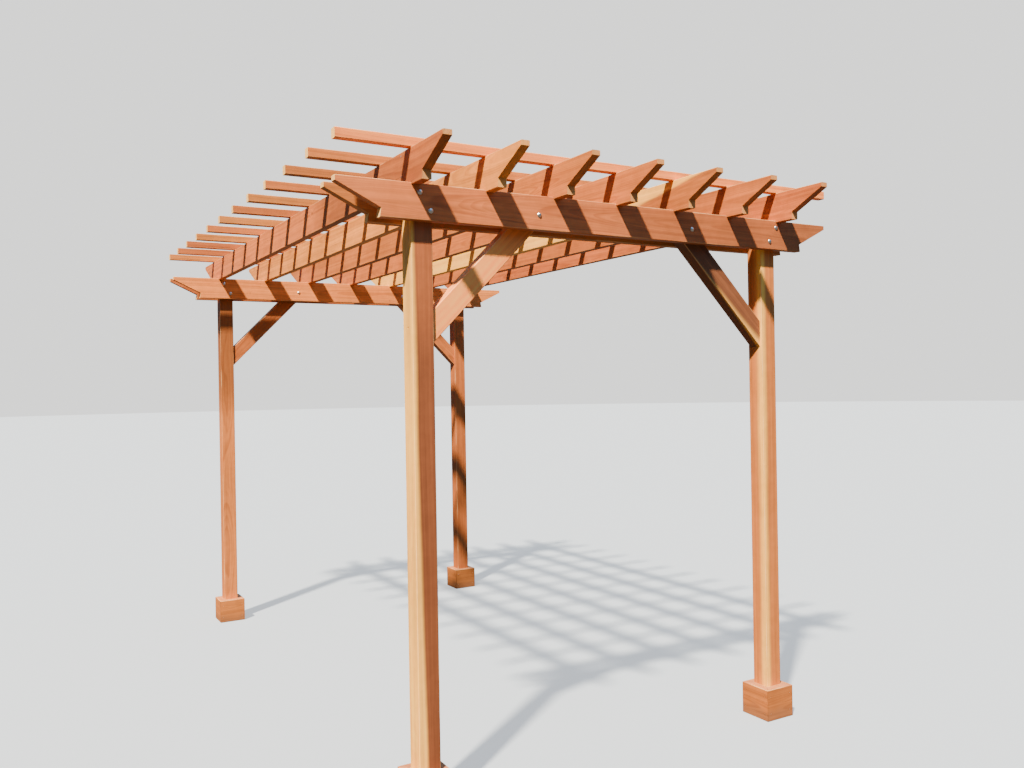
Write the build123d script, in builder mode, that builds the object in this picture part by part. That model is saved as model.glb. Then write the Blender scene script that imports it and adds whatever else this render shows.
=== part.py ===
"""Wooden pergola: four square posts in boxed skirts carry two double beams, steadied by
knee braces; seven rafters cross the beams and twelve square slats cross the rafters.

Millimetres. X runs along the beams, Y along the rafters, Z up. The origin is on the floor,
midway between the four posts. Front is -Y, left is -X.
"""
import os
from math import cos, radians, sin, tan

from build123d import *

os.makedirs("parts", exist_ok=True)

# Posts and their spacing, centre to centre
post_width = 89.0
post_spacing_x = 1830.0
post_spacing_y = 3325.0

# The timber is dressed with eased long edges; what is sawn afterwards stays sharp
eased_edge = 3.0

# Skirts of boards on edge round the foot of each post
skirt_thickness = 38.0
skirt_height = 150.0
skirt_clearance = 0.5

# Beams: two planks bolted to the front and back faces of each pair of posts
beam_top = 2400.0
beam_depth = 140.0
beam_thickness = 38.0
beam_overhang = 355.0
beam_toe = 6.0

# Rafters, laid across the beams and seated in shallow notches
rafter_count = 7
rafter_depth = 140.0
rafter_thickness = 38.0
rafter_overhang = 360.0
rafter_outset = 58.0
seat_depth = 8.0
seat_clearance = 1.0

# The tail cut that beams and rafters share: a short upright nose, a long slope back to an
# inner corner, and a short cut down to the lower edge
nose_height = 20.0
slope_run = 176.0
inner_corner_height = 35.0

# Slats, laid across the rafters, with their arrises planed off
slat_count = 12
slat_width = 38.0
slat_height = 38.0
slat_arris = 2.0
slat_overhang = 355.0
slat_outset = 88.0

# Knee braces, from the post up between the planks
brace_thickness = 64.0
brace_depth = 89.0
brace_angle = 45.0
brace_top_gap = 12.0

# Holes for the through bolts: two in each post, set on a diagonal, and one in each brace
bolt_diameter = 10.0
bolt_clearance = 1.0
post_bolt_offset = 22.0
post_bolt_upper_drop = 34.0
post_bolt_lower_drop = 102.0
brace_bolt_reach = 508.0
brace_bolt_drop = 79.0

# A long screw runs through each post into the foot of its brace
foot_screw_diameter = 7.0
foot_screw_clearance = 1.0

# Values that follow from the sizes above
half_x = post_spacing_x / 2
half_y = post_spacing_y / 2
half_post = post_width / 2
beam_bottom = beam_top - beam_depth
rafter_bottom = beam_top - seat_depth
rafter_top = rafter_bottom + rafter_depth
beam_half_width = half_post + beam_thickness
bolt_hole_radius = (bolt_diameter + bolt_clearance) / 2
screw_hole_radius = (foot_screw_diameter + foot_screw_clearance) / 2
brace_slope = tan(radians(brace_angle))
brace_foot = beam_top - brace_bolt_drop - brace_slope * (brace_bolt_reach - half_post)
sides_x = {"left": -1, "right": 1}
sides_y = {"front": -1, "back": 1}


def save(solid, name):
    """Label a finished piece and write its file."""
    solid.label = name
    export_step(solid, f"parts/{name}.step")


def upright_plane(y, z):
    """A plane facing the front, at depth y and height z: local x is X and local y is Z."""
    return Plane(origin=(0, y, z), x_dir=(1, 0, 0), z_dir=(0, -1, 0))


def tail_outline(half_length, depth, toe=0.0):
    """Half of a plank's outline, from the middle of its top round its tail to the bottom. The
    last cut is upright unless it leans out by a toe."""
    Polyline(
        (0, depth),
        (half_length, depth),
        (half_length, depth - nose_height),
        (half_length - slope_run, inner_corner_height),
        (half_length - slope_run + toe, 0),
        (0, 0),
    )
    mirror(about=Plane.YZ)


def post_bolt_centres(side):
    """The diagonal pair through the post on one side: the upper one is the outer one."""
    return [
        (side * (half_x + post_bolt_offset), post_bolt_upper_drop),
        (side * (half_x - post_bolt_offset), post_bolt_lower_drop),
    ]


def brace_bolt_centre(side):
    """The bolt through the brace on one side, as X and the distance below the beam's top."""
    return (side * (half_x - brace_bolt_reach), brace_bolt_drop)


def beam_bolt_centres():
    """Where bolts cross a beam, as X and the distance below the beam's top."""
    centres = []
    for side in sides_x.values():
        centres += post_bolt_centres(side) + [brace_bolt_centre(side)]
    return centres


# Posts: they stop level with the beams. The bolts of the beam pass through from the front,
# and the screw of the brace from the outer side
def make_post(side_x, side_y):
    outer_face = Plane(
        origin=(side_x * (half_x + half_post), side_y * half_y, brace_foot),
        z_dir=(side_x, 0, 0),
    )
    with BuildPart() as post:
        with BuildSketch():
            with Locations((side_x * half_x, side_y * half_y)):
                Rectangle(post_width, post_width)
        extrude(amount=beam_top)
        fillet(post.edges().filter_by(Axis.Z), radius=eased_edge)
        with BuildSketch(upright_plane(side_y * half_y + half_post, 0)):
            for x, drop in post_bolt_centres(side_x):
                with Locations((x, beam_top - drop)):
                    Circle(bolt_hole_radius)
        extrude(amount=post_width, mode=Mode.SUBTRACT)
        with BuildSketch(outer_face):
            Circle(screw_hole_radius)
        extrude(amount=-post_width, mode=Mode.SUBTRACT)
    return post.part


# Skirts: four boards on edge round the foot of the post, mitred where they meet
def make_skirt(side_x, side_y):
    inner = half_post + skirt_clearance
    outer = inner + skirt_thickness
    boards = []
    for quarter_turn in range(4):
        turn = radians(90 * quarter_turn)
        floor_plane = Plane(
            origin=(side_x * half_x, side_y * half_y, 0),
            x_dir=(cos(turn), sin(turn), 0),
        )
        with BuildPart() as board:
            with BuildSketch(floor_plane):
                Polygon((inner, -inner), (outer, -outer), (outer, outer), (inner, inner), align=None)
            extrude(amount=skirt_height)
            lengthwise = Axis(floor_plane.origin, floor_plane.y_dir)
            outwards = Axis(floor_plane.origin, floor_plane.x_dir)
            outer_edges = board.edges().filter_by(lengthwise).group_by(outwards)[-1]
            fillet(outer_edges, radius=eased_edge)
        boards.append(board.part)
    return Compound(children=boards)


# Beams: each plank is drawn on its back face, shaped at its tails and drilled for the bolts
def make_beam_plank(y_back):
    back_face = upright_plane(y_back, beam_bottom)
    with BuildPart() as plank:
        with BuildSketch(back_face):
            with BuildLine():
                tail_outline(half_x + beam_overhang, beam_depth, beam_toe)
            make_face()
        extrude(amount=beam_thickness)
        fillet(plank.edges().filter_by(Axis.X), radius=eased_edge)
        with BuildSketch(back_face):
            for x, drop in beam_bolt_centres():
                with Locations((x, beam_depth - drop)):
                    Circle(bolt_hole_radius)
        extrude(amount=beam_thickness, mode=Mode.SUBTRACT)
    return plank.part


# Rafters: drawn from the side and shaped at their tails, with a seat notch over each beam
def make_rafter(x_left):
    left_face = Plane(origin=(x_left, 0, rafter_bottom), x_dir=(0, 1, 0), z_dir=(1, 0, 0))
    with BuildPart() as rafter:
        with BuildSketch(left_face):
            with BuildLine():
                tail_outline(half_y + rafter_overhang, rafter_depth)
            make_face()
        extrude(amount=rafter_thickness)
        fillet(rafter.edges().filter_by(Axis.Y), radius=eased_edge)
        with BuildSketch(left_face):
            for side in sides_y.values():
                with Locations((side * half_y, 0)):
                    Rectangle(2 * (beam_half_width + seat_clearance), 2 * seat_depth)
        extrude(amount=rafter_thickness, mode=Mode.SUBTRACT)
    return rafter.part


# Slats: plain square bars, sawn square at both ends
def make_slat(y_front):
    with BuildPart() as slat:
        with BuildSketch(Plane.XY.offset(rafter_top)):
            with Locations((0, y_front + slat_width / 2)):
                Rectangle(2 * (half_x + slat_overhang), slat_width)
        extrude(amount=slat_height)
        chamfer(slat.edges().filter_by(Axis.X), length=slat_arris)
    return slat.part


# Knee braces: a plumb cut against the post, a level cut just under the rafters, and a hole
# in line with the one through the beam
def make_brace(side_x, side_y):
    half_rise = brace_depth / 2 / cos(radians(brace_angle))
    top = beam_top - brace_top_gap
    upper_run = (top - brace_foot - half_rise) / brace_slope
    lower_run = (top - brace_foot + half_rise) / brace_slope
    inner_face = half_x - half_post
    bolt_x, bolt_drop = brace_bolt_centre(side_x)
    back_face = upright_plane(side_y * half_y + brace_thickness / 2, 0)
    lengthwise = Axis((0, 0, 0), (-side_x, 0, brace_slope))
    with BuildPart() as brace:
        with BuildSketch(back_face):
            with BuildLine():
                Polyline(
                    (side_x * inner_face, brace_foot - half_rise),
                    (side_x * inner_face, brace_foot + half_rise),
                    (side_x * (inner_face - upper_run), top),
                    (side_x * (inner_face - lower_run), top),
                    close=True,
                )
            make_face()
        extrude(amount=brace_thickness)
        fillet(brace.edges().filter_by(lengthwise), radius=eased_edge)
        with BuildSketch(back_face):
            with Locations((bolt_x, beam_top - bolt_drop)):
                Circle(bolt_hole_radius)
        extrude(amount=brace_thickness, mode=Mode.SUBTRACT)
    return brace.part


# The four corners
for row, side_y in sides_y.items():
    for end, side_x in sides_x.items():
        corner = f"{row}_{end}"
        save(make_post(side_x, side_y), f"post_{corner}")
        save(make_skirt(side_x, side_y), f"skirt_{corner}")
        save(make_brace(side_x, side_y), f"brace_{corner}")

# The two double beams
for row, side_y in sides_y.items():
    save(make_beam_plank(side_y * half_y - half_post), f"beam_{row}_plank_front")
    save(make_beam_plank(side_y * half_y + beam_half_width), f"beam_{row}_plank_back")

# The rafters, from left to right
rafter_first = -half_x - rafter_outset
rafter_spacing = (-2 * rafter_first - rafter_thickness) / (rafter_count - 1)
for index in range(rafter_count):
    save(make_rafter(rafter_first + index * rafter_spacing), f"rafter_{index + 1}")

# The slats, from front to back
slat_first = -half_y - slat_outset
slat_spacing = (-2 * slat_first - slat_width) / (slat_count - 1)
for index in range(slat_count):
    save(make_slat(slat_first + index * slat_spacing), f"slat_{index + 1:02d}")
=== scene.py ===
"""The finish of the wooden pergola: stained softwood, bolts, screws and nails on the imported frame.

Metres. X runs along the beams, Y along the rafters, Z up. Front is -Y, left is -X.
"""
import math
import random

import bmesh
import bpy
from mathutils import Matrix, Vector


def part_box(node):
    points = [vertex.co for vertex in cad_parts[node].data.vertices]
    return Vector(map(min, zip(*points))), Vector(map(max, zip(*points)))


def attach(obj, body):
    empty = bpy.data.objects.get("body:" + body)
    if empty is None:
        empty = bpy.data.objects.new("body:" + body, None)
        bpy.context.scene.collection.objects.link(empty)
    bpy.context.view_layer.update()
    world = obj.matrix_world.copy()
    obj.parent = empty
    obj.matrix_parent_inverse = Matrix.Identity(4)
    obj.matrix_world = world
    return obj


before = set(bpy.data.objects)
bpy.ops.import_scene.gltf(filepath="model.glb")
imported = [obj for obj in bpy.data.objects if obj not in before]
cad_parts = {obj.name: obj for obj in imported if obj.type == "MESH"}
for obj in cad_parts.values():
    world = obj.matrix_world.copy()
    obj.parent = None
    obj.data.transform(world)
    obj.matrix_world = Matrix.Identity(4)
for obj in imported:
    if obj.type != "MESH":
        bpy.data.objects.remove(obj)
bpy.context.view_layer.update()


# Posts
# Four square posts of dressed softwood with eased arrises, sawn beside the heart of the log and
# finished with an orange-brown stain that lets the grain show. All the other timber of the
# pergola is the same wood, so its growth rings, fibres, knots, wear and the painted highlight on
# its arrises are worked out here.

def new_group(name, takes, gives):
    """Start a shader node group: its inputs with their usual values, its outputs by kind."""
    group = bpy.data.node_groups.new(name, "ShaderNodeTree")
    kinds = {3: "NodeSocketVector", 4: "NodeSocketColor"}
    for label, value in takes.items():
        kind = "NodeSocketFloat" if isinstance(value, float) else kinds[len(value)]
        socket = group.interface.new_socket(label, in_out="INPUT", socket_type=kind)
        socket.default_value = value
    for label, kind in gives.items():
        group.interface.new_socket(label, in_out="OUTPUT", socket_type="NodeSocket" + kind)
    inlet = group.nodes.new("NodeGroupInput")
    return group, {label: inlet.outputs[label] for label in takes}


def end_group(group, results):
    """Join a group's results to its outputs."""
    outlet = group.nodes.new("NodeGroupOutput")
    for label, source in results.items():
        group.links.new(source, outlet.inputs[label])
    return group


def feed(tree, node, feeds):
    """Give a node its inputs: each is another node's output or a plain value."""
    for label, value in feeds.items():
        if isinstance(value, bpy.types.NodeSocket):
            tree.links.new(value, node.inputs[label])
        else:
            node.inputs[label].default_value = value
    return node


def add_node(tree, kind, feeds, **settings):
    """Add a shader node with its settings and inputs, and give its outputs."""
    node = tree.nodes.new("ShaderNode" + kind)
    for label, value in settings.items():
        setattr(node, label, value)
    return feed(tree, node, feeds).outputs


def use_group(tree, group, feeds):
    """Place a node group and give its outputs."""
    return add_node(tree, "Group", feeds, node_tree=group)


def calc(tree, operation, *values):
    """A sum on numbers."""
    return add_node(tree, "Math", dict(enumerate(values)), operation=operation)[0]


def vector_calc(tree, operation, *values):
    """A sum on vectors that gives a vector."""
    return add_node(tree, "VectorMath", dict(enumerate(values)), operation=operation)[0]


def length_of(tree, vector):
    """The length of a vector."""
    return add_node(tree, "VectorMath", {0: vector}, operation="LENGTH")["Value"]


def axis_of(tree, vector, axis):
    """One axis of a vector."""
    return add_node(tree, "SeparateXYZ", {0: vector})[axis]


def vector_of(tree, *axes):
    """A vector made of its axes."""
    return add_node(tree, "CombineXYZ", dict(enumerate(axes)))[0]


def step(tree, value, low, high, start=0.0, end=1.0):
    """A smooth step from start to end as the value goes from low to high."""
    feeds = {"Value": value, "From Min": low, "From Max": high, "To Min": start, "To Max": end}
    return add_node(tree, "MapRange", feeds, interpolation_type="SMOOTHSTEP")[0]


def fall(tree, value, low, high):
    """A smooth fall from one to nothing as the value goes from low to high."""
    return step(tree, value, low, high, start=1.0, end=0.0)


# The Mix node has sockets of its own for each kind of value: the first, the second, the result
mix_sockets = {"RGBA": (6, 7, 2), "VECTOR": (4, 5, 1)}


def mix(tree, kind, factor, first, second, blend="MIX"):
    """Mix two colours or two vectors."""
    first_socket, second_socket, result_socket = mix_sockets[kind]
    feeds = {"Factor": factor, first_socket: first, second_socket: second}
    return add_node(tree, "Mix", feeds, data_type=kind, blend_type=blend)[result_socket]


def mix_colour(tree, factor, first, second):
    """Mix two colours."""
    return mix(tree, "RGBA", factor, first, second)


def shade(tree, colour, strength):
    """Make a colour lighter or darker by a factor."""
    return mix(tree, "RGBA", 1.0, colour, strength, blend="MULTIPLY")


def noise(tree, place, scale, detail=1.0):
    """Solid noise from 0 to 1, with its own scale along each axis."""
    stretched = vector_calc(tree, "MULTIPLY", place, scale)
    return add_node(tree, "TexNoise", {"Vector": stretched, "Scale": 1.0, "Detail": detail})[0]


def line_noise(tree, place, scale):
    """Noise from 0 to 1 along a line."""
    feeds = {"W": calc(tree, "MULTIPLY", place, scale), "Scale": 1.0, "Detail": 1.0}
    return add_node(tree, "TexNoise", feeds, noise_dimensions="1D")[0]


def noise_step(tree, pattern, start, end):
    """Go from start to end over the range that a noise mostly keeps to."""
    return step(tree, pattern, low=0.25, high=0.75, start=start, end=end)


def make_knots():
    """Small round knots here and there on the wide faces, and the swirl of grain round each."""
    ragged_edge = 0.002
    ragged_scale = (250.0, 250.0, 250.0)
    smallest, largest = 0.6, 1.6
    swirl_reach = 7.0
    takes = {"Place": (0.0, 0.0, 0.0), "Spacing": 0.35, "Share": 0.2, "Radius": 0.005}
    group, given = new_group("knots", takes, {"Knot": "Float", "Swirl": "Float"})
    density = calc(group, "DIVIDE", 1.0, given["Spacing"])
    feeds = {"Vector": given["Place"], "Scale": density}
    cells = add_node(group, "TexVoronoi", feeds, voronoi_dimensions="2D")
    chance = add_node(group, "SeparateColor", {"Color": cells["Color"]})
    present = calc(group, "LESS_THAN", chance["Red"], given["Share"])
    size = step(group, chance["Green"], low=0.0, high=1.0, start=smallest, end=largest)
    radius = calc(group, "MULTIPLY", given["Radius"], size)
    ragged = calc(group, "MULTIPLY", noise(group, given["Place"], ragged_scale), ragged_edge)
    distance = calc(group, "DIVIDE", cells["Distance"], density)
    distance = calc(group, "DIVIDE", calc(group, "ADD", distance, ragged), radius)
    knot = fall(group, distance, low=0.9, high=1.4)
    swirl = fall(group, distance, low=1.0, high=swirl_reach)
    return end_group(group, {
        "Knot": calc(group, "MULTIPLY", knot, present),
        "Swirl": calc(group, "MULTIPLY", swirl, present),
    })


# The heart of a log that is all heartwood, as far as any board reaches
no_sapwood = 9.0


def make_growth_rings():
    """Growth rings round a pith that wanders beside the board, with sapwood outside the heart."""
    noise_middle = 0.5
    wander_scale = 0.7
    wave_scale = (2.2, 16.0, 16.0)
    wave_height = 0.01
    swirl_height = 0.007
    uneven_scale = 70.0
    uneven_rings = 3.0
    weakest_ring = 0.4
    band_scale = 0.24
    sapwood_start, sapwood_end = -0.014, 0.006
    takes = {
        "Place": (0.0, 0.0, 0.0),
        "Pith": (0.0, 0.05, 0.0),
        "Ring Width": 0.004,
        "Heart Radius": no_sapwood,
        "Wander": 0.05,
        "Swirl": 0.0,
    }
    gives = {"Latewood": "Float", "Band": "Float", "Sapwood": "Float"}
    group, given = new_group("growth rings", takes, gives)
    feeds = {"W": axis_of(group, given["Place"], "X"), "Scale": wander_scale, "Detail": 1.0}
    drift = add_node(group, "TexNoise", feeds, noise_dimensions="1D")["Color"]
    middle = (noise_middle, noise_middle, noise_middle)
    drift = vector_calc(group, "SUBTRACT", drift, middle)
    reach = vector_of(group, 0.0, given["Wander"], given["Wander"])
    pith = vector_calc(group, "ADD", given["Pith"], vector_calc(group, "MULTIPLY", drift, reach))
    outwards = vector_calc(group, "SUBTRACT", given["Place"], pith)
    radius = length_of(group, vector_calc(group, "MULTIPLY", outwards, (0.0, 1.0, 1.0)))
    wave = calc(group, "SUBTRACT", noise(group, given["Place"], wave_scale), noise_middle)
    radius = calc(group, "MULTIPLY_ADD", wave, wave_height, radius)
    radius = calc(group, "MULTIPLY_ADD", given["Swirl"], swirl_height, radius)
    uneven = calc(group, "MULTIPLY", line_noise(group, radius, uneven_scale), uneven_rings)
    count = calc(group, "ADD", calc(group, "DIVIDE", radius, given["Ring Width"]), uneven)
    phase = calc(group, "FRACT", count)
    year = calc(group, "FLOOR", count)
    vigour = add_node(group, "TexWhiteNoise", {"W": year}, noise_dimensions="1D")[0]
    darkening = step(group, phase, low=0.2, high=0.86)
    late = calc(group, "MULTIPLY", darkening, fall(group, phase, low=0.9, high=1.0))
    vigour = step(group, vigour, low=0.0, high=1.0, start=weakest_ring, end=1.0)
    late = calc(group, "MULTIPLY", late, vigour)
    from_heart = calc(group, "SUBTRACT", radius, given["Heart Radius"])
    return end_group(group, {
        "Latewood": late,
        "Band": line_noise(group, count, band_scale),
        "Sapwood": step(group, from_heart, sapwood_start, sapwood_end),
    })


def make_fibres():
    """Fine fibres, broader streaks, and thin dark drying checks, all running along the board."""
    gives = {"Fibre": "Float", "Streak": "Float", "Check": "Float"}
    group, given = new_group("fibres", {"Place": (0.0, 0.0, 0.0)}, gives)
    thin = noise(group, given["Place"], scale=(1.5, 190.0, 190.0))
    thin = step(group, thin, low=0.70, high=0.76)
    clustered = noise(group, given["Place"], scale=(0.8, 9.0, 9.0))
    clustered = step(group, clustered, low=0.52, high=0.6)
    return end_group(group, {
        "Fibre": noise(group, given["Place"], scale=(8.0, 600.0, 600.0)),
        "Streak": noise(group, given["Place"], scale=(0.7, 60.0, 60.0)),
        "Check": calc(group, "MULTIPLY", thin, clustered),
    })


def make_edge_wear_and_highlight():
    """Where the stain has rubbed thin along the long arrises of a board, lightened further there as
    a painted highlight.
    """
    takes = {"Place": (0.0, 0.0, 0.0), "Half Section": (0.0, 0.07, 0.019), "Width": 0.005}
    group, given = new_group("edge wear and highlight", takes, {"Wear And Highlight": "Float"})
    from_centre = vector_calc(group, "ABSOLUTE", given["Place"])
    from_corner = vector_calc(group, "SUBTRACT", given["Half Section"], from_centre)
    distance = length_of(group, vector_calc(group, "MULTIPLY", from_corner, (0.0, 1.0, 1.0)))
    near = fall(group, calc(group, "DIVIDE", distance, given["Width"]), low=0.2, high=1.0)
    rubbed_and_highlit = noise(group, given["Place"], scale=(7.0, 50.0, 50.0))
    rubbed_and_highlit = step(group, rubbed_and_highlit, low=0.35, high=0.65)
    return end_group(group, {"Wear And Highlight": calc(group, "MULTIPLY", near, rubbed_and_highlit)})


bleached_wood = (0.60, 0.42, 0.28, 1.0)
splashed_dirt = (0.11, 0.07, 0.05, 1.0)
palest_wood = (0.98, 0.9, 0.85)


def noise_shade(tree, colour, pattern, darkest, lightest):
    """Shade a colour by a noise, between two factors."""
    return shade(tree, colour, noise_step(tree, pattern, darkest, lightest))


def make_weathering():
    """Uneven stain, a little bleaching of what faces the sky, and splashed dirt at the floor."""
    cloud_detail = 3.0
    splash_edge = 0.03
    dirt_strength = 0.4
    takes = {"Color": (0.5, 0.2, 0.1, 1.0), "Bleach": 0.3, "Splash Height": 0.1}
    group, given = new_group("weathering", takes, {"Color": "Color", "Dirt": "Float"})
    surface = add_node(group, "TexCoord", {})
    patches = noise(group, surface["Object"], scale=(2.4, 2.4, 1.6), detail=cloud_detail)
    colour = noise_shade(group, given["Color"], patches, darkest=0.88, lightest=1.1)
    mottle = noise(group, surface["Object"], scale=(26.0, 26.0, 26.0), detail=cloud_detail)
    colour = noise_shade(group, colour, mottle, darkest=0.94, lightest=1.05)
    skyward = step(group, axis_of(group, surface["Normal"], "Z"), low=0.6, high=0.95)
    bleached = calc(group, "MULTIPLY", skyward, calc(group, "MULTIPLY", mottle, given["Bleach"]))
    colour = mix_colour(group, bleached, colour, bleached_wood)
    ragged = noise(group, surface["Object"], scale=(13.0, 13.0, 13.0), detail=cloud_detail)
    ragged = calc(group, "MULTIPLY", ragged, given["Splash Height"])
    above_splash = calc(group, "SUBTRACT", axis_of(group, surface["Object"], "Z"), ragged)
    dirt = fall(group, above_splash, -splash_edge, splash_edge)
    colour = mix_colour(group, calc(group, "MULTIPLY", dirt, dirt_strength), colour, splashed_dirt)
    colour = vector_calc(group, "MINIMUM", colour, palest_wood)
    return end_group(group, {"Color": colour, "Dirt": dirt})


knots = make_knots()
growth_rings = make_growth_rings()
fibres = make_fibres()
edge_wear_and_highlight = make_edge_wear_and_highlight()
weathering = make_weathering()

early_tan = (0.68, 0.26, 0.055, 1.0)
early_red = (0.475, 0.124, 0.037, 1.0)
late_tan = (0.37, 0.117, 0.023, 1.0)
late_red = (0.245, 0.050, 0.0145, 1.0)
greyed_wood = (0.20, 0.14, 0.12, 1.0)
early_sapwood = (0.98, 0.50, 0.10, 1.0)
late_sapwood = (0.92, 0.36, 0.06, 1.0)
early_sawn = (0.98, 0.64, 0.24, 1.0)
late_sawn = (0.68, 0.33, 0.09, 1.0)
rubbed_and_highlit_wood = (0.80, 0.50, 0.24, 1.0)
check_dark = (0.07, 0.025, 0.012, 1.0)
knot_dark = (0.085, 0.03, 0.015, 1.0)
latewood_strength = 0.44
band_strength = 0.28
sapwood_ring_strength = 0.5
wear_and_highlight_strength = 0.5
check_strength = 0.5
knot_strength = 0.8
early_roughness = 0.56
late_roughness = 0.46
dirt_roughness = 0.3
sawn_roughness = 0.2
fibre_height = 0.00008
latewood_height = 0.00006
check_depth = 0.0006
knot_depth = 0.0002


def make_stained_wood():
    """The whole finish of a board, from a place and a facing turned along its grain."""
    takes = {
        "Place": (0.0, 0.0, 0.0),
        "Facing": (0.0, 0.0, 1.0),
        "Half Section": (0.0, 0.07, 0.019),
        "Pith": (0.0, 0.05, 0.0),
        "Tilt": (0.0, 0.0, 0.0),
        "Heart Radius": no_sapwood,
        "Ring Width": 0.004,
        "Wander": 0.05,
        "Shift": 0.0,
        "Redness": 0.5,
        "Tone": 1.0,
        "Fade": 0.0,
        "Fade Start": 0.0,
        "Fade Length": 0.2,
        "Greying": 0.0,
        "Bare Ends": 0.7,
        "Knots": 0.15,
    }
    gives = {"Color": "Color", "Roughness": "Float", "Height": "Float"}
    group, given = new_group("stained wood", takes, gives)

    # Each board is cut from another stretch of the log, and its pith may lean away along it
    grain_place = vector_calc(group, "ADD", given["Place"], vector_of(group, given["Shift"]))
    knot_place = vector_calc(group, "ADD", grain_place, vector_of(group, 0.0, given["Shift"]))
    knot = use_group(group, knots, {"Place": knot_place, "Share": given["Knots"]})
    along = axis_of(group, given["Place"], "X")
    lean = vector_calc(group, "MULTIPLY", given["Tilt"], vector_of(group, along, along, along))
    rings = use_group(group, growth_rings, {
        "Place": grain_place,
        "Pith": vector_calc(group, "ADD", given["Pith"], lean),
        "Ring Width": given["Ring Width"],
        "Heart Radius": given["Heart Radius"],
        "Wander": given["Wander"],
        "Swirl": knot["Swirl"],
    })
    threads = use_group(group, fibres, {"Place": grain_place})
    feeds = {"Place": given["Place"], "Half Section": given["Half Section"]}
    worn_and_highlit = use_group(group, edge_wear_and_highlight, feeds)

    # Stained heartwood, whose tone may change along the board; on the near brace this fade is
    # painted shade under the beam
    early = mix_colour(group, given["Redness"], early_tan, early_red)
    late = mix_colour(group, given["Redness"], late_tan, late_red)
    band = step(group, rings["Band"], low=0.35, high=0.7)
    ringed = calc(group, "MULTIPLY", rings["Latewood"], latewood_strength)
    ringed = calc(group, "MULTIPLY_ADD", band, band_strength, ringed)
    past_start = calc(group, "SUBTRACT", along, given["Fade Start"])
    fading = calc(group, "DIVIDE", past_start, given["Fade Length"])
    fading = step(group, fading, low=-1.0, high=1.0)
    fading = calc(group, "MULTIPLY_ADD", fading, given["Fade"], 1.0)
    tone = calc(group, "MULTIPLY", given["Tone"], fading)
    heart = shade(group, mix_colour(group, ringed, early, late), tone)
    heart = mix_colour(group, given["Greying"], heart, greyed_wood)

    # Sapwood, fibres, sawn ends, rubbed arrises with a painted highlight, checks and knots
    sap_ringed = calc(group, "MULTIPLY", rings["Latewood"], sapwood_ring_strength)
    sap = mix_colour(group, sap_ringed, early_sapwood, late_sapwood)
    wood = mix_colour(group, rings["Sapwood"], heart, sap)
    wood = noise_shade(group, wood, threads["Streak"], darkest=0.86, lightest=1.1)
    wood = noise_shade(group, wood, threads["Fibre"], darkest=0.94, lightest=1.05)
    lengthwise = calc(group, "ABSOLUTE", axis_of(group, given["Facing"], "X"))
    end_grain = step(group, lengthwise, low=0.35, high=0.98)
    on_side = calc(group, "SUBTRACT", 1.0, end_grain)
    sawn = mix_colour(group, rings["Latewood"], early_sawn, late_sawn)
    wood = mix_colour(group, calc(group, "MULTIPLY", end_grain, given["Bare Ends"]), wood, sawn)
    # Arrises are lightened where the stain is rubbed, and also as a painted highlight
    rubbed_and_highlit = calc(group, "MULTIPLY", worn_and_highlit["Wear And Highlight"], wear_and_highlight_strength)
    wood = mix_colour(group, rubbed_and_highlit, wood, rubbed_and_highlit_wood)
    check = calc(group, "MULTIPLY", threads["Check"], on_side)
    wood = mix_colour(group, calc(group, "MULTIPLY", check, check_strength), wood, check_dark)
    face_knot = calc(group, "MULTIPLY", knot["Knot"], on_side)
    wood = mix_colour(group, calc(group, "MULTIPLY", face_knot, knot_strength), wood, knot_dark)
    weathered = use_group(group, weathering, {"Color": wood})

    rough = step(group, rings["Latewood"], 0.0, 1.0, early_roughness, late_roughness)
    rough = calc(group, "MULTIPLY_ADD", weathered["Dirt"], dirt_roughness, rough)
    rough = calc(group, "MULTIPLY_ADD", end_grain, sawn_roughness, rough)
    relief = calc(group, "MULTIPLY", threads["Fibre"], fibre_height)
    relief = calc(group, "MULTIPLY_ADD", rings["Latewood"], latewood_height, relief)
    relief = calc(group, "MULTIPLY_ADD", check, -check_depth, relief)
    relief = calc(group, "MULTIPLY_ADD", face_knot, -knot_depth, relief)
    return end_group(group, {"Color": weathered["Color"], "Roughness": rough, "Height": relief})


stained_wood = make_stained_wood()


def new_material(name):
    """A material with nodes: its tree and its shader."""
    material = bpy.data.materials.new(name)
    material.use_nodes = True
    return material, material.node_tree, material.node_tree.nodes["Principled BSDF"]


def finish_wood(tree, shader, finish, colour):
    """Join the stained wood to the shader, with the low sheen of an oil stain."""
    bump = {"Height": finish["Height"], "Distance": 1.0, "Strength": 0.8}
    feed(tree, shader, {
        "Base Color": colour,
        "Roughness": finish["Roughness"],
        "Normal": add_node(tree, "Bump", bump)[0],
        "Specular IOR Level": 0.22,
        "Coat Weight": 0.03,
        "Coat Roughness": 0.35,
    })


def board_material(name, centre, grain, wide, section, values):
    """Stained wood for one board: its centre, the way that its grain and its wide side run,
    the width and thickness of its section, and how it was sawn and stained."""
    material, tree, shader = new_material(name)
    surface = add_node(tree, "TexCoord", {})
    along, across = Vector(grain).normalized(), Vector(wide).normalized()
    turn = Matrix((along, across, along.cross(across))).transposed().to_euler()
    to_board = {"Vector": surface["Object"], "Location": centre, "Rotation": turn}
    to_facing = {"Vector": surface["Normal"], "Rotation": turn}
    finish = use_group(tree, stained_wood, {
        "Place": add_node(tree, "Mapping", to_board, vector_type="TEXTURE")[0],
        "Facing": add_node(tree, "Mapping", to_facing, vector_type="TEXTURE")[0],
        "Half Section": (0.0, section[0] / 2, section[1] / 2),
        **values,
    })
    finish_wood(tree, shader, finish, finish["Color"])
    return material


def dress(node, material):
    """Give a piece of the frame its material."""
    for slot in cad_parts[node].material_slots:
        slot.material = material


timber_seed = 11
timber_draw = random.Random(timber_seed)
pith_sideways = (-0.35, 0.35)
pith_distances = (0.05, 0.14)
ring_widths = (0.0025, 0.0045)
shifts_along_log = (5.0, 90.0)
usual_redness = (0.5, 0.9)
usual_tone = (0.85, 1.05)


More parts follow.
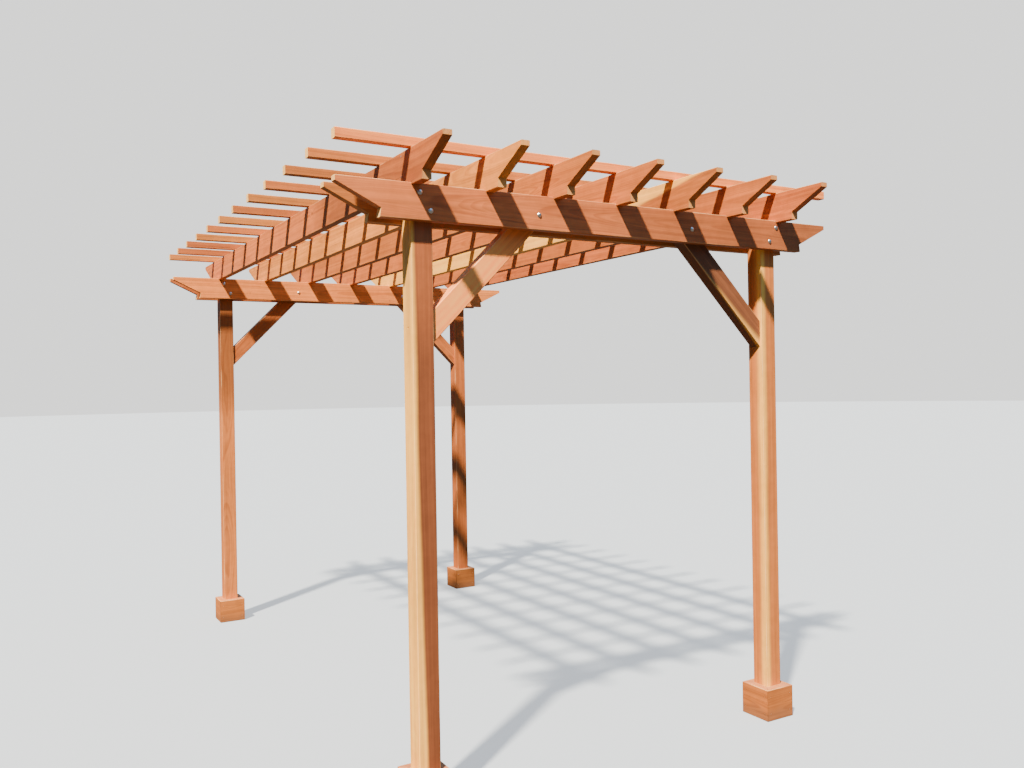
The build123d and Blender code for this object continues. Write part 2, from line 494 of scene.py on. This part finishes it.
def sawn_board(width, **known):
    """Draw how one board was sawn from its log and how it took the stain, unless known."""
    values = {
        "Pith": (
            0.0,
            timber_draw.uniform(*pith_sideways) * width,
            timber_draw.choice((-1, 1)) * timber_draw.uniform(*pith_distances),
        ),
        "Ring Width": timber_draw.uniform(*ring_widths),
        "Shift": timber_draw.uniform(*shifts_along_log),
        "Redness": timber_draw.uniform(*usual_redness),
        "Tone": timber_draw.uniform(*usual_tone),
        "Knots": 0.12,
    }
    values.update(known)
    return values


# Both front posts hold sapwood: the left one down its left side, and the right one in a strip
# that runs up its front beside the left arris
post_sawing = {
    "post_front_left": {
        "Pith": (0.0, 0.163, 0.0),
        "Tilt": (0.0, -0.014, 0.0),
        "Heart Radius": 0.197,
        "Wander": 0.015,
        "Redness": 0.9,
        "Tone": 0.45,
        "Fade": 0.9,
        "Fade Start": 0.65,
        "Greying": 0.10,
    },
    "post_front_right": {
        "Pith": (0.0, 0.072, 0.050),
        "Heart Radius": 0.1374,
        "Wander": 0.006,
        "Redness": 0.6,
        "Tone": 1.05,
    },
    "post_back_left": {
        "Redness": 0.6,
        "Tone": 1.15,
        "Fade": -0.5,
        "Fade Start": 0.3,
        "Greying": 0.03,
    },
    "post_back_right": {},
}
for node, known in post_sawing.items():
    low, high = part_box(node)
    width = high.x - low.x
    dress(node, board_material(
        node,
        centre=(low + high) / 2,
        grain=(0, 0, 1),
        wide=(1, 0, 0),
        section=(width, width),
        values=sawn_board(width, **known),
    ))


# Skirts
# Four boards on edge box in the foot of each post, mitred at the corners and held by finish
# nails. Their grain lies flat and turns the corner with them, and a fine dark line shows
# where two boards meet.

corners = [(row, end) for row in ("front", "back") for end in ("left", "right")]
mitre_line = 0.0005
mitre_strength = 0.85
mitre_dark = (0.03, 0.015, 0.01, 1.0)
shift_between_boards = 3.0


def skirt_material(name, low, high, inner, values):
    """Stained wood whose grain turns with the four boards of a skirt: its corners, how far the
    inner faces are from its middle, and how it was sawn and stained."""
    material, tree, shader = new_material(name)
    surface = add_node(tree, "TexCoord", {})
    thickness = (high.x - low.x) / 2 - inner
    place = vector_calc(tree, "SUBTRACT", surface["Object"], tuple((low + high) / 2))
    size_x = calc(tree, "ABSOLUTE", axis_of(tree, place, "X"))
    size_y = calc(tree, "ABSOLUTE", axis_of(tree, place, "Y"))
    on_side = calc(tree, "GREATER_THAN", size_x, size_y)

    def turn_corner(vector):
        """Turn a vector so that its X runs along the board it is on, and its Z through it."""
        x, y, z = (axis_of(tree, vector, axis) for axis in "XYZ")
        return mix(tree, "VECTOR", on_side, vector_of(tree, x, z, y), vector_of(tree, y, z, x))

    board = turn_corner(place)
    through = axis_of(tree, board, "Z")
    from_middle = calc(tree, "SUBTRACT", calc(tree, "ABSOLUTE", through), inner + thickness / 2)
    which_side = calc(tree, "SIGN", through)
    own_shift = calc(tree, "MULTIPLY_ADD", which_side, shift_between_boards, on_side)
    along, up = axis_of(tree, board, "X"), axis_of(tree, board, "Y")
    finish = use_group(tree, stained_wood, {
        **values,
        "Place": vector_of(tree, along, up, from_middle),
        "Facing": turn_corner(surface["Normal"]),
        "Half Section": (0.0, (high.z - low.z) / 2, thickness / 2),
        "Shift": calc(tree, "ADD", own_shift, values["Shift"]),
    })
    from_mitre = calc(tree, "ABSOLUTE", calc(tree, "SUBTRACT", size_x, size_y))
    joint = step(tree, from_mitre, mitre_line, 2 * mitre_line, start=mitre_strength, end=0.0)
    finish_wood(tree, shader, finish, mix_colour(tree, joint, finish["Color"], mitre_dark))
    return material


for row, end in corners:
    node = f"skirt_{row}_{end}"
    low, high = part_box(node)
    post_low, post_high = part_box(f"post_{row}_{end}")
    inner = (post_high.x - post_low.x) / 2
    dress(node, skirt_material(node, low, high, inner, sawn_board(high.z - low.z)))


# Beams
# Each beam is a pair of stained planks, one bolted on the front and one on the back of its two
# posts, with their tails sawn to a nose and a long slope. The sawn ends are paler than the
# stained faces, and the plank in front grows darker towards the right.

beam_bare_ends = 0.85
beam_sawing = {
    "beam_front_plank_front": {
        "Pith": (0.0, 0.01, -0.07),
        "Tilt": (0.0, 0.004, 0.022),
        "Wander": 0.03,
        "Redness": 0.85,
        "Tone": 1.25,
        "Fade": -0.36,
        "Fade Start": 0.1,
        "Fade Length": 1.1,
        "Greying": 0.09,
    },
    "beam_front_plank_back": {"Redness": 0.5},
    "beam_back_plank_front": {"Redness": 0.6, "Tone": 1.5},
    "beam_back_plank_back": {},
}
for node, known in beam_sawing.items():
    low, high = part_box(node)
    size = high - low
    dress(node, board_material(
        node,
        centre=(low + high) / 2,
        grain=(1, 0, 0),
        wide=(0, 0, 1),
        section=(size.z, size.y),
        values=sawn_board(size.z, **{"Bare Ends": beam_bare_ends, **known}),
    ))


# Knee braces
# Stained lengths of thicker timber, set at 45 degrees from the posts up between the planks and
# bolted there. The one on the near post is pale, with its upper end darkened as painted shade
# under the beam, and the one on the right post has sapwood along its lower edge.

brace_depth = 0.089
brace_sawing = {
    # Near brace: the raised tone makes it pale, and the fade darkens its upper end as painted shade
    # under the beam
    "brace_front_left": {"Redness": 0.7, "Tone": 2.25, "Fade": -0.35, "Fade Start": 0.1},
    "brace_front_right": {
        "Pith": (0.0, 0.0255, 0.059),
        "Tilt": (0.0, -0.02, -0.02),
        "Heart Radius": 0.117,
        "Wander": 0.006,
        "Redness": 0.75,
        "Tone": 0.42,
        "Greying": 0.16,
    },
    "brace_back_left": {"Redness": 0.8, "Tone": 0.9},
    "brace_back_right": {},
}
for node, known in brace_sawing.items():
    low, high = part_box(node)
    rising = 1 if node.endswith("left") else -1
    upper_side = Vector((-rising, 0, 1)).normalized()
    dress(node, board_material(
        node,
        centre=(low + high) / 2 + upper_side * brace_depth / 2,
        grain=(rising, 0, 1),
        wide=upper_side,
        section=(brace_depth, high.y - low.y),
        values=sawn_board(brace_depth, **known),
    ))


# Through bolts
# Zinc-plated bolts with round heads, 10 mm thick, hold each pair of planks: two through each
# post, set on a diagonal, and one through the top of each brace. The heads face the front, and
# a washer and a nut close each one at the back.

merge_distance = 1e-6
sharp_angle = math.radians(35)
right_angle = math.radians(90)


def turned_shape(outline, steps):
    """A shape turned about the Y axis from an outline of (place along Y, radius)."""
    shape = bmesh.new()
    points = [shape.verts.new((radius, along, 0.0)) for along, radius in outline]
    edges = [shape.edges.new(pair) for pair in zip(points, points[1:])]
    bmesh.ops.spin(
        shape, geom=points + edges, cent=(0, 0, 0), axis=(0, 1, 0), dvec=(0, 0, 0),
        angle=math.tau, steps=steps, use_merge=True,
    )
    bmesh.ops.remove_doubles(shape, verts=shape.verts, dist=merge_distance)
    bmesh.ops.recalc_face_normals(shape, faces=shape.faces)
    return shape


def dome_outline(radius, rise, base, count=6):
    """The curve of a domed head, from its middle in front to its rim at the base."""
    sphere = (radius * radius + rise * rise) / (2 * rise)
    widest = math.asin(radius / sphere)
    angles = [widest * part / count for part in range(count + 1)]
    return [(base - rise + sphere - sphere * math.cos(a), sphere * math.sin(a)) for a in angles]


def add_copy(target, shape, place):
    """Add a copy of a shape to a mesh in the making, moved to its place."""
    mesh = bpy.data.meshes.new("copy")
    shape.to_mesh(mesh)
    mesh.transform(place)
    target.from_mesh(mesh)
    bpy.data.meshes.remove(mesh)


def add_piece(name, shape, material):
    """Make a finished piece of a shape, with its flat faces kept apart from its round ones."""
    mesh = bpy.data.meshes.new(name)
    for edge in shape.edges:
        edge.smooth = edge.calc_face_angle(math.pi) < sharp_angle
    for face in shape.faces:
        face.smooth = True
    shape.to_mesh(mesh)
    shape.free()
    mesh.materials.append(material)
    piece = bpy.data.objects.new(name, mesh)
    bpy.context.scene.collection.objects.link(piece)
    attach(piece, "root")


zinc_bright = (0.66, 0.67, 0.68, 1.0)
zinc_dulling = 0.55
zinc_roughness = 0.24
zinc_roughening = 0.2


def make_zinc():
    """Zinc plate: cloudy, a little dull in patches, with fine scratches."""
    material, tree, shader = new_material("zinc plate")
    place = add_node(tree, "TexCoord", {})["Object"]
    cloud = noise(tree, place, scale=(220.0, 220.0, 220.0), detail=3.0)
    dull = tuple(zinc_dulling * part for part in zinc_bright[:3]) + (1.0,)
    rough = noise_step(tree, cloud, zinc_roughness, zinc_roughness + zinc_roughening)
    scratches = noise(tree, place, scale=(1800.0, 300.0, 1800.0))
    feed(tree, shader, {
        "Base Color": mix_colour(tree, step(tree, cloud, low=0.5, high=0.8), zinc_bright, dull),
        "Metallic": 1.0,
        "Roughness": rough,
        "Normal": add_node(tree, "Bump", {"Height": scratches, "Distance": 0.00005})[0],
    })
    return material


zinc = make_zinc()
bolt_radius = 0.005
bolt_steps = 32
head_radius = 0.0105
head_rise = 0.0055
head_rim = 0.0006
washer_radius = 0.014
washer_thickness = 0.002
washer_bevel = 0.0004
nut_across_flats = 0.017
nut_thickness = 0.008
nut_bevel = 0.0008
thread_pitch = 0.0015
thread_depth = 0.0006
thread_turns = 4
thread_steps = 24
post_bolt_offset = 0.022
post_bolt_drops = (0.034, 0.102)
brace_bolt_reach = 0.508
brace_bolt_drop = 0.079


def make_nut(front):
    """A six-sided nut on the Y axis, with its front at a place along it."""
    nut = bmesh.new()
    corner = nut_across_flats / math.sqrt(3)
    bmesh.ops.create_cone(
        nut, cap_ends=True, segments=6, radius1=corner, radius2=corner, depth=nut_thickness)
    bmesh.ops.bevel(
        nut, geom=nut.edges[:], offset=nut_bevel, offset_type="OFFSET", affect="EDGES", segments=2,
        profile=0.5, material=-1)
    middle = Matrix.Translation((0, front + nut_thickness / 2, 0))
    bmesh.ops.transform(nut, matrix=middle @ Matrix.Rotation(right_angle, 4, "X"), verts=nut.verts)
    return nut


def make_bolt(grip):
    """One bolt with its washer and nut, for timber that is as thick as the grip."""
    head = dome_outline(head_radius, head_rise, -head_rim)
    shank = [(0.0, head_radius), (0.0, bolt_radius), (grip, bolt_radius)]
    bolt = turned_shape(head + shank, bolt_steps)
    washer_back = grip + washer_thickness
    washer = turned_shape([
        (grip, bolt_radius),
        (grip, washer_radius),
        (washer_back - washer_bevel, washer_radius),
        (washer_back, washer_radius - washer_bevel),
        (washer_back, bolt_radius),
    ], bolt_steps)
    thread_start = washer_back + nut_thickness
    thread_end = thread_start + thread_turns * thread_pitch
    ridges = []
    for turn in range(thread_turns):
        root = thread_start + turn * thread_pitch
        ridges += [(root, bolt_radius - thread_depth), (root + thread_pitch / 2, bolt_radius)]
    ridges += [
        (thread_end, bolt_radius - thread_depth),
        (thread_end + thread_depth, bolt_radius - 3 * thread_depth),
        (thread_end + thread_depth, 0.0),
    ]
    for part in (washer, make_nut(washer_back), turned_shape(ridges, thread_steps)):
        add_copy(bolt, part, Matrix.Identity(4))
        part.free()
    return bolt


for row in ("front", "back"):
    front_low, front_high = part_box(f"beam_{row}_plank_front")
    back_low, back_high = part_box(f"beam_{row}_plank_back")
    bolt = make_bolt(back_high.y - front_low.y)
    bolts = bmesh.new()
    for side, end in ((-1, "left"), (1, "right")):
        post_low, post_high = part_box(f"post_{row}_{end}")
        post_x = (post_low.x + post_high.x) / 2
        places = [
            (post_x + side * post_bolt_offset, post_bolt_drops[0]),
            (post_x - side * post_bolt_offset, post_bolt_drops[1]),
            (post_x - side * brace_bolt_reach, brace_bolt_drop),
        ]
        for x, drop in places:
            add_copy(bolts, bolt, Matrix.Translation((x, front_low.y, front_high.z - drop)))
    bolt.free()
    add_piece(f"bolts_beam_{row}", bolts, zinc)


# Foot screws
# A long zinc-plated screw in the outer side of each post draws in the foot of its brace. Its
# head is sunk in the hole, so that it shows only as a small dark spot.

recess_arms = 4
steps_per_arm = 4
recess_radius = 0.55
recess_depth = 0.5
recess_taper = 0.8
recess_wall = 0.4
head_depth = 0.8


def make_screw(head, rim, sunk, shank, length):
    """A screw along +Y with a flat cross-recessed head: the radius of its head and the height
    of its rim, how far it is sunk below the face, and the radius and length of its shank."""
    recess = recess_radius * head
    bottom = sunk + recess_depth * head
    steps = steps_per_arm * recess_arms
    screw = turned_shape([
        (bottom, 0.0),
        (bottom, recess_taper * recess),
        (sunk, recess),
        (sunk, head - rim),
        (sunk + rim, head),
        (sunk + 2 * rim, head),
        (sunk + head_depth * head, shank),
        (sunk + length, shank),
        (sunk + length + 2 * shank, 0.0),
    ], steps)

    # The round recess is drawn in to a cross, apart from its arms
    within = recess + merge_distance
    for vertex in screw.verts:
        radius = math.hypot(vertex.co.x, vertex.co.z)
        angle = math.atan2(vertex.co.z, vertex.co.x) % (math.tau / recess_arms)
        on_arm = min(angle, math.tau / recess_arms - angle) < math.tau / steps / 2
        in_recess = 0 < radius < within and vertex.co.y < bottom + merge_distance
        if in_recess and not on_arm:
            vertex.co.x *= recess_wall
            vertex.co.z *= recess_wall
    return screw


foot_screw = make_screw(head=0.0039, rim=0.0004, sunk=0.004, shank=0.0035, length=0.14)
foot_screws = bmesh.new()
for row, end in corners:
    side = -1 if end == "left" else 1
    post_low, post_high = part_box(f"post_{row}_{end}")
    brace_low, brace_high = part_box(f"brace_{row}_{end}")
    outer_x = post_low.x if side < 0 else post_high.x
    foot_z = brace_low.z + brace_depth / math.sqrt(2)
    place = Matrix.Translation((outer_x, (post_low.y + post_high.y) / 2, foot_z))
    add_copy(foot_screws, foot_screw, place @ Matrix.Rotation(side * right_angle, 4, "Z"))
foot_screw.free()
add_piece("foot_screws", foot_screws, zinc)


# Skirt nails
# Small zinc-plated finish nails beside each mitre, two at each end of a board, driven in from
# outside until their heads are all but flush.

nail_radius = 0.0016
nail_crown_radius = 0.00128
nail_proud = 0.0001
nail_depth = 0.002
nail_steps = 10
nail_from_corner = 0.02
nail_heights = (0.035, 0.115)
nail_outline = [
    (-nail_proud, 0.0),
    (-nail_proud, nail_crown_radius),
    (0.0, nail_radius),
    (nail_depth, nail_radius),
]
nail = turned_shape(nail_outline, nail_steps)
skirt_nails = bmesh.new()
for row, end in corners:
    low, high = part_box(f"skirt_{row}_{end}")
    centre = (low + high) / 2
    half = (high.x - low.x) / 2
    for quarter_turn in range(4):
        turn = Matrix.Rotation(quarter_turn * right_angle, 4, "Z")
        for along in (nail_from_corner - half, half - nail_from_corner):
            for height in nail_heights:
                place = Matrix.Translation((centre.x, centre.y, 0)) @ turn
                add_copy(skirt_nails, nail, place @ Matrix.Translation((along, -half, height)))
nail.free()
add_piece("skirt_nails", skirt_nails, zinc)


# Rafters
# Seven stained planks on edge across the beams, with tails shaped like those of the beams. The
# second is a yellower board than the rest, and the fifth has sapwood behind its front tail.

rafter_bare_ends = 0.3
rafter_sawing = [
    {"Redness": 0.85, "Tone": 0.8, "Fade": 0.7, "Fade Start": -0.6, "Greying": 0.04},
    {"Redness": 0.1, "Tone": 1.15},
    {"Redness": 0.7, "Tone": 1.0},
    {"Redness": 0.8, "Tone": 1.15},
    {
        "Redness": 0.7,
        "Tone": 0.85,
        "Pith": (0.0, -0.529, 0.06),
        "Tilt": (0.0, -0.16, 0.0),
        "Heart Radius": 0.303,
        "Wander": 0.01,
    },
    {"Redness": 0.85, "Tone": 1.0},
    {"Redness": 1.0, "Tone": 1.1},
]
for number, known in enumerate(rafter_sawing, 1):
    node = f"rafter_{number}"
    low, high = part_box(node)
    size = high - low
    dress(node, board_material(
        node,
        centre=(low + high) / 2,
        grain=(0, 1, 0),
        wide=(0, 0, 1),
        section=(size.z, size.x),
        values=sawn_board(size.z, **{"Bare Ends": rafter_bare_ends, **known}),
    ))


# Rafter screws
# Each rafter is screwed down at a slant from its right side into every plank that it crosses.
# Two more small screws show on the outer side of the first rafter.

slant = math.radians(55)
slant_screw_height = 0.03
side_screw_drops = (0.016, 0.094)
side_screw_offset = 0.012
side_screw = make_screw(head=0.0038, rim=0.0004, sunk=-0.0003, shank=0.002, length=0.03)
slant_screw = make_screw(head=0.0038, rim=0.0004, sunk=0.0, shank=0.002, length=0.06)
rafter_screws = bmesh.new()
for number in range(1, len(rafter_sawing) + 1):
    low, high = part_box(f"rafter_{number}")
    for plank in beam_sawing:
        plank_low, plank_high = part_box(plank)
        middle_y = (plank_low.y + plank_high.y) / 2
        place = Matrix.Translation((high.x, middle_y, plank_high.z + slant_screw_height))
        turn = Matrix.Rotation(right_angle, 4, "Z") @ Matrix.Rotation(-slant, 4, "X")
        add_copy(rafter_screws, slant_screw, place @ turn)
first_low, first_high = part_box("rafter_1")
post_low, post_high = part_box("post_front_left")
screw_y = (post_low.y + post_high.y) / 2 + side_screw_offset
for drop in side_screw_drops:
    place = Matrix.Translation((first_low.x, screw_y, first_high.z - drop))
    add_copy(rafter_screws, side_screw, place @ Matrix.Rotation(-right_angle, 4, "Z"))
side_screw.free()
slant_screw.free()
add_piece("rafter_screws", rafter_screws, zinc)


# Slats
# Twelve square bars of the same stained wood lie across the rafters, some redder and some more
# tan. They are sawn square, and their ends are left nearly bare.

slat_bare_ends = 0.95
slat_looks = [
    {"Redness": 0.8, "Tone": 2.0},
    {"Redness": 0.6, "Tone": 1.2},
    {"Redness": 0.6, "Tone": 0.95},
    {"Redness": 0.8, "Tone": 1.2},
    {"Redness": 0.3, "Tone": 0.9},
    {"Redness": 0.8, "Tone": 1.2},
    {"Redness": 0.3, "Tone": 0.95},
    {"Redness": 0.8, "Tone": 1.2},
    {"Redness": 0.3, "Tone": 0.95},
    {"Redness": 0.9, "Tone": 1.1},
    {"Redness": 0.9, "Tone": 1.1},
    {"Redness": 0.4, "Tone": 1.1},
]
for number, known in enumerate(slat_looks, 1):
    node = f"slat_{number:02d}"
    low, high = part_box(node)
    size = high - low
    dress(node, board_material(
        node,
        centre=(low + high) / 2,
        grain=(1, 0, 0),
        wide=(0, 1, 0),
        section=(size.y, size.z),
        values=sawn_board(size.y, **{"Bare Ends": slat_bare_ends, **known}),
    ))


# Slat screws
# One zinc-plated countersunk screw holds each slat where it crosses a rafter, driven flush from
# above. None of them sits quite in line with the rest.

jitter_along = 0.004
jitter_across = 0.003
slat_screw = make_screw(head=0.0042, rim=0.0003, sunk=0.0, shank=0.002, length=0.03)
downwards = Matrix.Rotation(-right_angle, 4, "X")
slat_screws = bmesh.new()
for slat_number in range(1, len(slat_looks) + 1):
    slat_low, slat_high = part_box(f"slat_{slat_number:02d}")
    for rafter_number in range(1, len(rafter_sawing) + 1):
        rafter_low, rafter_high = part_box(f"rafter_{rafter_number}")
        x = (rafter_low.x + rafter_high.x) / 2 + timber_draw.uniform(-jitter_along, jitter_along)
        y = (slat_low.y + slat_high.y) / 2 + timber_draw.uniform(-jitter_across, jitter_across)
        add_copy(slat_screws, slat_screw, Matrix.Translation((x, y, slat_high.z)) @ downwards)
slat_screw.free()
add_piece("slat_screws", slat_screws, zinc)


# Floor, light and camera
# A plain pale floor under a pale sky, with one warm sun from the front left and above. The soft
# light of the sky is brightest overhead and behind on the right, and dimmest on the left. The
# camera sees floor and sky paler than the light that they give, so that shades stay deep.

def seen_and_given(tree, seen, given):
    """A colour that the camera sees and another that lights the object."""
    camera_ray = add_node(tree, "LightPath", {})["Is Camera Ray"]
    return mix_colour(tree, camera_ray, given, seen)


def part_along(tree, vector, way):
    """How much of a vector points one way."""
    return add_node(tree, "VectorMath", {0: vector, 1: way}, operation="DOT_PRODUCT")["Value"]


floor_radius = 60.0
floor_segments = 96
floor_seen = (0.28, 0.33, 0.40, 1.0)
floor_given = (0.058, 0.055, 0.05, 1.0)
floor_glow_seen = (0.65, 0.64, 0.60, 1.0)
floor_glow_given = (0.0, 0.0, 0.0, 1.0)
floor_mesh = bpy.data.meshes.new("floor")
floor_shape = bmesh.new()
bmesh.ops.create_circle(
    floor_shape, cap_ends=True, radius=floor_radius, segments=floor_segments)
floor_shape.to_mesh(floor_mesh)
floor_shape.free()
floor = bpy.data.objects.new("floor", floor_mesh)
bpy.context.scene.collection.objects.link(floor)
floor_paint, tree, shader = new_material("pale floor")
feed(tree, shader, {
    "Base Color": seen_and_given(tree, floor_seen, floor_given),
    "Roughness": 0.9,
    "Specular IOR Level": 0.0,
    "Emission Color": seen_and_given(tree, floor_glow_seen, floor_glow_given),
    "Emission Strength": 1.0,
})
floor_mesh.materials.append(floor_paint)

sky_seen = (1.49, 1.49, 1.46, 1.0)
horizon_light = (0.01, 0.022, 0.035, 1.0)
overhead_light = (0.33, 0.70, 1.10, 1.0)
back_light = (0.50, 0.56, 0.66, 1.0)
way_front_right = (0.5, -0.87, 0.0)
way_back_right = (0.6, 0.8, 0.0)
world = bpy.data.worlds.new("studio")
bpy.context.scene.world = world
world.use_nodes = True
tree = world.node_tree
towards = add_node(tree, "TexCoord", {})["Generated"]
overhead = step(tree, axis_of(tree, towards, "Z"), low=0.05, high=0.9)
soft_light = mix_colour(tree, overhead, horizon_light, overhead_light)
front_right = part_along(tree, towards, way_front_right)
sideways = step(tree, front_right, low=-0.6, high=0.6, start=0.3, end=1.5)
soft_light = shade(tree, soft_light, sideways)
behind = step(tree, part_along(tree, towards, way_back_right), low=0.1, high=0.9)
soft_light = mix_colour(tree, behind, soft_light, back_light)
feed(tree, tree.nodes["Background"], {
    "Color": seen_and_given(tree, sky_seen, soft_light),
    "Strength": 1.0,
})

key_direction = Vector((0.587, 0.45, -1.0))
key = bpy.data.lights.new("key", "SUN")
key.energy = 17.0
key.angle = math.radians(2.5)
key.color = (1.0, 0.84, 0.63)
key_object = bpy.data.objects.new("key", key)
key_object.rotation_euler = key_direction.to_track_quat("-Z", "Y").to_euler()
bpy.context.scene.collection.objects.link(key_object)

camera_place = Vector((-2.33936, -4.83708, 1.63959))
camera_yaw = math.radians(30.0694)
camera_pitch = math.radians(-0.0800)
camera_roll = math.radians(-0.9331)
camera = bpy.data.cameras.new("camera")
camera.sensor_width = 36.0
camera.lens = 31.446
camera_object = bpy.data.objects.new("camera", camera)
camera_object.matrix_world = (
    Matrix.Translation(camera_place)
    @ Matrix.Rotation(-camera_yaw, 4, "Z")
    @ Matrix.Rotation(right_angle + camera_pitch, 4, "X")
    @ Matrix.Rotation(camera_roll, 4, "Z")
)
bpy.context.scene.collection.objects.link(camera_object)
bpy.context.scene.camera = camera_object

bpy.context.view_layer.update()
